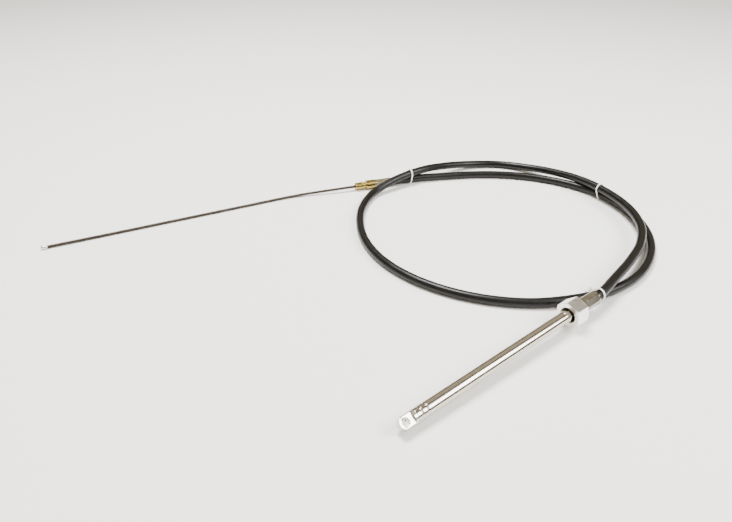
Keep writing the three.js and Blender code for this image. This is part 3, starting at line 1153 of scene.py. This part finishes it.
@dataclass(frozen=True)
class NutAndHub(SubAssembly):
    """The swivel nut and the hub that it turns on. Places are measured from the nut's face."""

    across_flats: float = 31.75 * MM
    nut_length: float = 22 * MM
    nut_bore: float = 10.4 * MM
    lip: float = 5 * MM
    lip_bore: float = 8.8 * MM
    chamfer: float = 1.6 * MM
    nut_roll: float = 11.5
    thread_pitch: float = 1.814 * MM
    thread_turns: int = 6
    thread_front: float = -1.2 * MM
    thread_rise: float = 0.2 * MM
    thread_root: float = 0.1 * MM
    thread_half_share: float = 0.4
    neck_radius: float = 8.5 * MM
    flange_radius: float = 10.1 * MM
    flange_back: float = -16.7 * MM
    flange_front: float = -14 * MM
    socket_radius: float = 6.3 * MM
    socket_floor: float = -26 * MM
    hub_radius: float = 9.6 * MM
    hub_front: float = -22.3 * MM
    hub_back: float = -59.3 * MM
    crimp_start: float = 5 * MM
    crimp_length: float = 29 * MM
    crimp_across: float = 17.4 * MM
    crimp_roll: float = -20
    hose_radius: float = 6.85 * MM
    hose_entry: float = 4 * MM

    def nut(self) -> Piece:
        """Makes the nut: a hexagonal bar, turned off at its corners and bored."""
        corner = self.across_flats / math.sqrt(3)
        face = self.across_flats / 2 - self.chamfer / 2
        back, mouth = -self.nut_length, 0.8 * MM
        blank = turned(
            "nut_blank",
            [
                (back, self.lip_bore),
                (back, face),
                (back + self.chamfer, corner + 0.2 * MM),
                (-self.chamfer, corner + 0.2 * MM),
                (0, face),
                (0, self.nut_bore + mouth),
                (-mouth, self.nut_bore),
                (back + self.lip, self.nut_bore),
                (back + self.lip, self.lip_bore),
            ],
        )
        piece = hexagon_bar("swivel_hex_nut", self.across_flats, back, 0, self.nut_roll)
        cut(piece, blank, Cut.KEEP_INSIDE)
        edges_broken(piece, 0.25 * MM, angle=35)
        smoothed(piece)
        lay(piece, ENGINE_END)
        return dress(piece, BRIGHT_NICKEL, "nut", "swivel_nut")

    def thread(self) -> Piece:
        """Makes the nut's thread as one ridge that winds along the bore."""
        clear_bench()
        bpy.ops.mesh.primitive_circle_add(vertices=3, radius=self.thread_rise, fill_type="NOTHING")
        piece = bpy.context.object
        piece.name = "nut_thread"
        base, crest = self.nut_bore + self.thread_root, self.nut_bore - self.thread_rise
        half = self.thread_pitch * self.thread_half_share
        start = self.thread_front - self.thread_pitch * self.thread_turns
        corners = [(start - half, base), (start, crest), (start + half, base)]
        for vertex, (x, radius) in zip(piece.data.vertices, corners):
            vertex.co = (x, 0, radius)
        finished(
            piece,
            "SCREW",
            axis="X",
            angle=math.tau,
            screw_offset=self.thread_pitch,
            iterations=self.thread_turns,
            steps=48,
            render_steps=48,
        )
        bpy.ops.object.mode_set(mode="EDIT")
        bpy.ops.mesh.select_all(action="DESELECT")
        bpy.ops.mesh.select_non_manifold()
        bpy.ops.mesh.fill()
        bpy.ops.mesh.select_all(action="SELECT")
        bpy.ops.mesh.normals_make_consistent(inside=False)
        bpy.ops.object.mode_set(mode="OBJECT")
        smoothed(piece)
        lay(piece, ENGINE_END)
        piece.data.materials.append(BRIGHT_NICKEL.material())
        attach(piece, "nut")
        return piece

    def hub(self) -> Piece:
        """Makes the hub: turned, then pressed on to the hose in a hexagonal die."""
        back, front = self.hub_back, self.hub_front
        entry = back + self.hose_entry
        outline = [
            (entry, 0),
            (entry, self.hose_radius),
            (back + 0.5 * MM, self.hose_radius),
            (back, self.hose_radius + 0.5 * MM),
            (back, self.hub_radius - 0.8 * MM),
            (back + 0.8 * MM, self.hub_radius),
            (front, self.hub_radius),
            (front, self.neck_radius),
            (self.flange_back, self.neck_radius),
            (self.flange_back, self.flange_radius),
            (self.flange_front, self.flange_radius),
            (self.flange_front, self.socket_radius),
            (self.socket_floor, self.socket_radius),
            (self.socket_floor, 0),
        ]
        piece = turned("crimped_hub", outline)
        die_front = front - self.crimp_start
        die_back = die_front - self.crimp_length
        die = hexagon_bar("hub_die", self.crimp_across, die_back, die_front, self.crimp_roll)
        grow_ends(die, rise=1.8 * MM, growth=1.3, reach=60 * MM)
        cut(piece, die, Cut.KEEP_INSIDE)
        edges_broken(piece, 0.25 * MM, angle=24)
        smoothed(piece)
        lay(piece, ENGINE_END)
        return dress(piece, PRESSED_STAINLESS, "cable", "hub")

    def build(self) -> list[Piece]:
        """Builds the nut, its thread and the hub."""
        return [self.nut(), self.thread(), self.hub()]


@dataclass(frozen=True)
class HelmEnd(SubAssembly):
    """The fitting that seats in the helm, and the ferrule. Places are measured from its mouth."""

    nipple_radius: float = 6.3 * MM
    nipple_length: float = 13.5 * MM
    rim_radius: float = 7 * MM
    rim_length: float = 1.8 * MM
    groove_radius: float = 5.2 * MM
    groove_length: float = 4.6 * MM
    collar_radius: float = 8.2 * MM
    collar_length: float = 16 * MM
    core_bore: float = 3.1 * MM
    core_bore_depth: float = 10 * MM
    tail_radius: float = 4.5 * MM
    tail_length: float = 14 * MM
    ferrule_gap: float = 0.3 * MM
    ferrule_radius: float = 7.75 * MM
    ferrule_length: float = 30 * MM
    crimp_start: float = 4 * MM
    crimp_length: float = 21 * MM
    crimp_across: float = 14.2 * MM
    hose_radius: float = 6.85 * MM
    hose_entry: float = 4 * MM

    def fitting(self) -> Piece:
        """Makes the fitting: nipple, rim, groove and collar, with the core's bore."""
        bore, chamfer = self.core_bore, 0.8 * MM
        rim = self.nipple_length
        groove = rim + self.rim_length
        collar = groove + self.groove_length
        end = collar + self.collar_length
        tail_end = end + self.tail_length
        outline = [
            (self.core_bore_depth, 0),
            (self.core_bore_depth, bore),
            (0.6 * MM, bore),
            (0, bore + 0.6 * MM),
            (0, self.nipple_radius - chamfer),
            (chamfer, self.nipple_radius),
            (rim, self.nipple_radius),
            (rim, self.rim_radius),
            (groove, self.rim_radius),
            (groove, self.groove_radius),
            (collar, self.groove_radius),
            (collar, self.collar_radius - chamfer),
            (collar + chamfer, self.collar_radius),
            (end - chamfer, self.collar_radius),
            (end, self.collar_radius - chamfer),
            (end, self.tail_radius),
            (tail_end, self.tail_radius),
            (tail_end, 0),
        ]
        piece = turned("helm_nipple_fitting", outline)
        edges_broken(piece, 0.25 * MM)
        smoothed(piece)
        lay(piece, HELM_END)
        return dress(piece, YELLOW_ZINC, "cable", "helm_fitting")

    def ferrule(self) -> Piece:
        """Makes the ferrule, pressed on to the hose in a hexagonal die."""
        collar_end = self.nipple_length + self.rim_length + self.groove_length + self.collar_length
        start = collar_end + self.ferrule_gap
        end = start + self.ferrule_length
        socket_end = collar_end + self.tail_length + self.ferrule_gap
        socket = self.tail_radius + self.ferrule_gap
        edge, entry = 0.8 * MM, end - self.hose_entry
        outline = [
            (socket_end, 0),
            (socket_end, socket),
            (start, socket),
            (start, self.ferrule_radius - edge),
            (start + edge, self.ferrule_radius),
            (end - 0.4 * MM, self.ferrule_radius),
            (end, self.ferrule_radius - 0.4 * MM),
            (end, self.hose_radius + 0.2 * MM),
            (end - 0.4 * MM, self.hose_radius),
            (entry, self.hose_radius),
            (entry, 0),
        ]
        piece = turned("crimped_ferrule", outline)
        die_start = start + self.crimp_start
        die = hexagon_bar("ferrule_die", self.crimp_across, die_start, die_start + self.crimp_length)
        grow_ends(die, rise=1.5 * MM, growth=1.3, reach=60 * MM)
        cut(piece, die, Cut.KEEP_INSIDE)
        edges_broken(piece, 0.2 * MM, angle=24)
        smoothed(piece)
        lay(piece, HELM_END)
        return dress(piece, CLEAR_ZINC, "cable", "helm_ferrule")

    def build(self) -> list[Piece]:
        """Builds the fitting and its ferrule."""
        return [self.fitting(), self.ferrule()]


@dataclass(frozen=True)
class CableTies(SubAssembly):
    """The moulded ties round both turns of the hose.

    Args:
        hose: The hose that they hold.
        width: The band's width.
        thickness: The band's thickness.
        gap: What is left between the band and the hose.
        head: The ratchet head's length along the band, its height and its width.
        tail: How far the cut tail stands out of the head on each side.
        tail_shares: The tail's length, height and middle, as shares of the head's length and height.
    """

    hose: Hose
    count: int = 3
    width: float = 2.5 * MM
    thickness: float = 1 * MM
    gap: float = 0.3 * MM
    head: tuple[float, float, float] = (5.2 * MM, 4.2 * MM, 4 * MM)
    tail: float = 2.2 * MM
    tail_shares: tuple[float, float, float] = (0.62, 0.3, 0.45)

    def tie(self, number: int, line: Sequence[Vector]) -> Piece:
        """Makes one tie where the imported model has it.

        Args:
            number: The tie's number, from 1.
            line: Even points along the hose's middle.

        Returns:
            The tie.
        """
        node = f"cable_tie_{number}"
        low, high = (Vector(corner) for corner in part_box(node))
        middle, half = (low + high) / 2, len(line) // 2
        lower = min(range(1, half), key=lambda i: (line[i] - middle).length)
        upper = min(range(half, len(line) - 1), key=lambda i: (line[i] - line[lower]).length)
        ways = [(line[i + 1] - line[i - 1]).normalized() for i in (lower, upper)]
        along = (ways[0] + ways[1]).normalized()
        across = line[upper] - line[lower]
        reach = across.length / 2
        across = (across - along * across.dot(along)).normalized()
        side = along.cross(across)
        if side.y < 0:
            side, along = -side, -along
        skew = ways[0].angle(ways[1]) / 2
        turn_reach = self.hose.diameter / 2 / math.cos(skew) + self.width / 2 * math.tan(skew)
        piece = self.band(f"nylon_tie_{number}", reach, turn_reach + self.gap)
        self.add_head(piece, turn_reach + self.gap)
        edges_broken(piece, 0.22 * MM, angle=40)
        smoothed(piece)
        basis = Matrix((across, side, along)).transposed().to_4x4()
        centre = (line[lower] + line[upper]) / 2
        take_up(piece)
        piece.matrix_world = Matrix.Translation(centre) @ basis
        settle()
        return dress(piece, NYLON, "cable", node)

    def band(self, name: str, reach: float, radius: float) -> Piece:
        """Makes the band: a circle drawn apart into two half circles, widened and thickened.

        Args:
            name: The piece's name.
            reach: Half the distance between the two turns.
            radius: The band's inner radius round each turn.

        Returns:
            The band, about the world's origin, with its width along Z.
        """
        clear_bench()
        sides = 64
        bpy.ops.mesh.primitive_circle_add(
            vertices=sides,
            radius=radius,
            location=(0, 0, -self.width / 2),
            rotation=(0, 0, math.pi / sides),
        )
        piece = bpy.context.object
        piece.name = name
        settle()
        for side in (1, -1):
            pick(piece, Part.VERTEX, lambda v, side=side: v.co.x * side > 0)
            bpy.ops.transform.translate(value=(side * reach, 0, 0))
        bpy.ops.mesh.select_all(action="SELECT")
        bpy.ops.mesh.extrude_region_move(TRANSFORM_OT_translate={"value": (0, 0, self.width)})
        bpy.ops.mesh.select_all(action="SELECT")
        bpy.ops.mesh.normals_make_consistent(inside=False)
        bpy.ops.object.mode_set(mode="OBJECT")
        finished(piece, "SOLIDIFY", thickness=self.thickness, offset=1.0)
        return piece

    def add_head(self, band: Piece, radius: float) -> None:
        """Adds the ratchet head and the cut tail to a band.

        Args:
            band: The band.
            radius: The band's inner radius.
        """
        length, height, width = self.head
        tail_length, tail_height, tail_middle = self.tail_shares
        tail_size = (length * tail_length, height * tail_height, width + 2 * self.tail)
        blocks = (
            ((0, radius + height / 2, 0), (length, height, width)),
            ((0, radius + height * tail_middle, 0), tail_size),
        )
        made = []
        for place, size in blocks:
            clear_bench()
            bpy.ops.mesh.primitive_cube_add(size=1, location=place, scale=size)
            settle()
            made.append(bpy.context.object)
        take_up(band)
        for block in made:
            block.select_set(True)
        bpy.ops.object.join()

    def build(self) -> list[Piece]:
        line = self.hose.line()
        ties = [self.tie(number, line) for number in range(1, self.count + 1)]
        self.hose.declare(ties)
        return ties


@dataclass(frozen=True)
class Studio(SubAssembly):
    """The floor, the soft lights and the camera.

    Args:
        camera_place: Where the camera stands.
        camera_tilt: How far its view is turned up from straight down, in degrees.
        lens: Its focal length in millimetres, on a sensor 36 mm wide.
        room_light: How strongly the ceiling and walls shine.
    """

    camera_place: tuple[float, float, float] = (-0.1422, -0.7234, 0.487)
    camera_tilt: float = 57.3
    lens: float = 29.51
    room_light: float = 1.3

    def camera(self) -> None:
        """Sets up the camera at the photograph's angle."""
        tilt = (math.radians(self.camera_tilt), 0, 0)
        bpy.ops.object.camera_add(location=self.camera_place, rotation=tilt)
        camera = bpy.context.object
        camera.data.sensor_width = 36
        camera.data.lens = self.lens
        camera.data.clip_start = 0.01
        bpy.context.scene.camera = camera

    def softbox(self, place: tuple[float, float, float], size: float, power: float) -> None:
        """Hangs a square soft light that looks at the cable's middle.

        Args:
            place: Where its middle hangs.
            size: The length of its sides.
            power: Its power in watts.
        """
        clear_bench()
        bpy.ops.object.light_add(type="AREA", location=place)
        light = bpy.context.object
        light.data.shape = "SQUARE"
        light.data.size = size
        light.data.energy = power
        aim = Vector((-0.1, 0.05, 0)) - Vector(place)
        light.rotation_euler = aim.to_track_quat("-Z", "Y").to_euler()

    def surroundings(self) -> None:
        """Lights the studio: a bright ceiling in two panels with a gap, over low dark walls.

        Polished metal shows the walls and the gap as thin dark lines.
        """
        world = bpy.data.worlds.new("studio_walls")
        bpy.context.scene.world = world
        world.use_nodes = True
        tree = world.node_tree
        tree.nodes.clear()
        direction = add_node(tree, "ShaderNodeTexCoord").outputs["Generated"]
        axes = add_node(tree, "ShaderNodeSeparateXYZ", inputs={0: direction})
        walls = add_node(tree, "ShaderNodeValToRGB", inputs={0: axes.outputs["Z"]})
        stops = ((0, "#efece6"), (0.02, "#2b2620"), (0.1, "#2b2620"), (0.2, "#7d7468"))
        self.set_stops(walls, (*stops, (0.42, "#dcd6ca")))
        panels = add_node(tree, "ShaderNodeValToRGB", inputs={0: axes.outputs["Y"]})
        stops = ((0.27, "#fdfcfa"), (0.31, "#2b2620"), (0.39, "#2b2620"), (0.43, "#e0d8c8"))
        self.set_stops(panels, stops)
        both = add_node(
            tree,
            "ShaderNodeMix",
            {"data_type": "RGBA", "blend_type": "MULTIPLY"},
            {0: 1.0, 6: walls.outputs[0], 7: panels.outputs[0]},
        )
        settings = {"Color": both.outputs[2], "Strength": self.room_light}
        background = add_node(tree, "ShaderNodeBackground", inputs=settings)
        add_node(tree, "ShaderNodeOutputWorld", inputs={"Surface": background.outputs[0]})

    def set_stops(self, ramp: bpy.types.Node, stops: Sequence[tuple[float, str]]) -> None:
        """Sets a colour ramp's stops.

        Args:
            ramp: The colour ramp.
            stops: Each stop's place and colour, in order.
        """
        elements = ramp.color_ramp.elements
        while len(elements) < len(stops):
            elements.new(1.0)
        for element, (place, colour) in zip(elements, stops):
            element.position = place
            element.color = linear(colour)

    def floor(self) -> Piece:
        """Lays the plain pale floor."""
        clear_bench()
        bpy.ops.mesh.primitive_plane_add(size=40)
        floor = bpy.context.object
        floor.name = "studio_floor"
        floor.data.materials.append(PAPER.material())
        return floor

    def build(self) -> list[Piece]:
        """Sets up the studio."""
        self.camera()
        self.surroundings()
        self.softbox((-0.6, 0.6, 2.6), size=1.1, power=170)
        self.softbox((1.7, -0.5, 1.6), size=1.3, power=80)
        return [self.floor()]


def main() -> None:
    """Builds the scene, the studio and the cords first."""
    logging.basicConfig(level=logging.INFO, format="%(name)s: %(message)s")
    hose = Hose()
    groups: tuple[SubAssembly, ...] = (
        Studio(), hose, CableTies(hose), CoreWire(), RamEnd(), NutAndHub(), HelmEnd()
    )
    for group in groups:
        for piece in group.build():
            log.info("%s made %s", type(group).__name__, piece.name)


if __name__ == "__main__":
    main()
